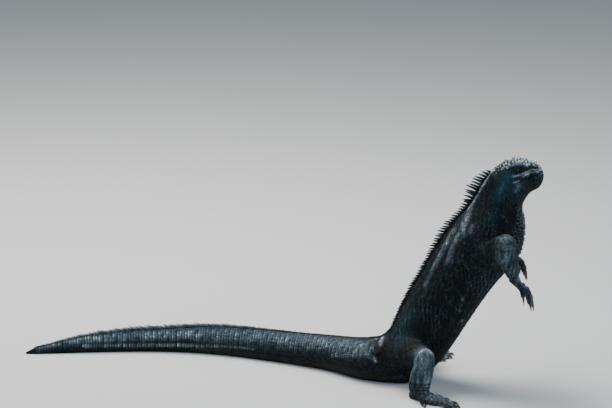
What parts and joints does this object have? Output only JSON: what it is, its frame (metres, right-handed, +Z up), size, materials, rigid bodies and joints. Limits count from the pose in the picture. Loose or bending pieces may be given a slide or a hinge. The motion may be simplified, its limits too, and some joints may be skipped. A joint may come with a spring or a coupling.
{
  "type": "marine iguana model",
  "caption": "Still life-size marine iguana that sits up on hind feet and tail, with a spined crest, blunt head and forelegs held forward.",
  "frame": {"origin": "middle of the bounding box's underside, on the floor it rests on", "axes": "+X forwards from tail to head, +Y to the animal's left, +Z up"},
  "size_m": [0.779, 0.3146, 0.35],
  "materials": {
    "skin": "dry scaly hide, charcoal",
    "limb skin": "dry scaly hide, dusty grey",
    "eye": "wet and glossy",
    "claw": "horn, satin"
  },
  "bodies": {
    "root": {"head": "skin", "neck": "skin", "chest": "skin", "abdomen": "skin", "pelvis": "skin", "tail_root": "skin", "tail_front": "skin", "tail_middle": "skin", "tail_tip": "skin", "eye_right": "eye", "eye_left": "eye", "thigh_right": "limb skin", "thigh_left": "limb skin", "shank_right": "limb skin", "shank_left": "limb skin", "hind_foot_right": "limb skin", "hind_foot_left": "limb skin", "upper_arm_right": "limb skin", "upper_arm_left": "limb skin", "forearm_right": "limb skin", "forearm_left": "limb skin", "hand_right": "limb skin", "hand_left": "limb skin", "claw_hind_foot_right_1": "claw", "claw_hind_foot_right_2": "claw", "claw_hind_foot_right_3": "claw", "claw_hind_foot_right_4": "claw", "claw_hind_foot_right_5": "claw", "claw_hind_foot_left_1": "claw", "claw_hind_foot_left_2": "claw", "claw_hind_foot_left_3": "claw", "claw_hind_foot_left_4": "claw", "claw_hind_foot_left_5": "claw", "claw_hand_right_1": "claw", "claw_hand_right_2": "claw", "claw_hand_right_3": "claw", "claw_hand_right_4": "claw", "claw_hand_right_5": "claw", "claw_hand_left_1": "claw", "claw_hand_left_2": "claw", "claw_hand_left_3": "claw", "claw_hand_left_4": "claw", "claw_hand_left_5": "claw"}
  },
  "joints": []
}
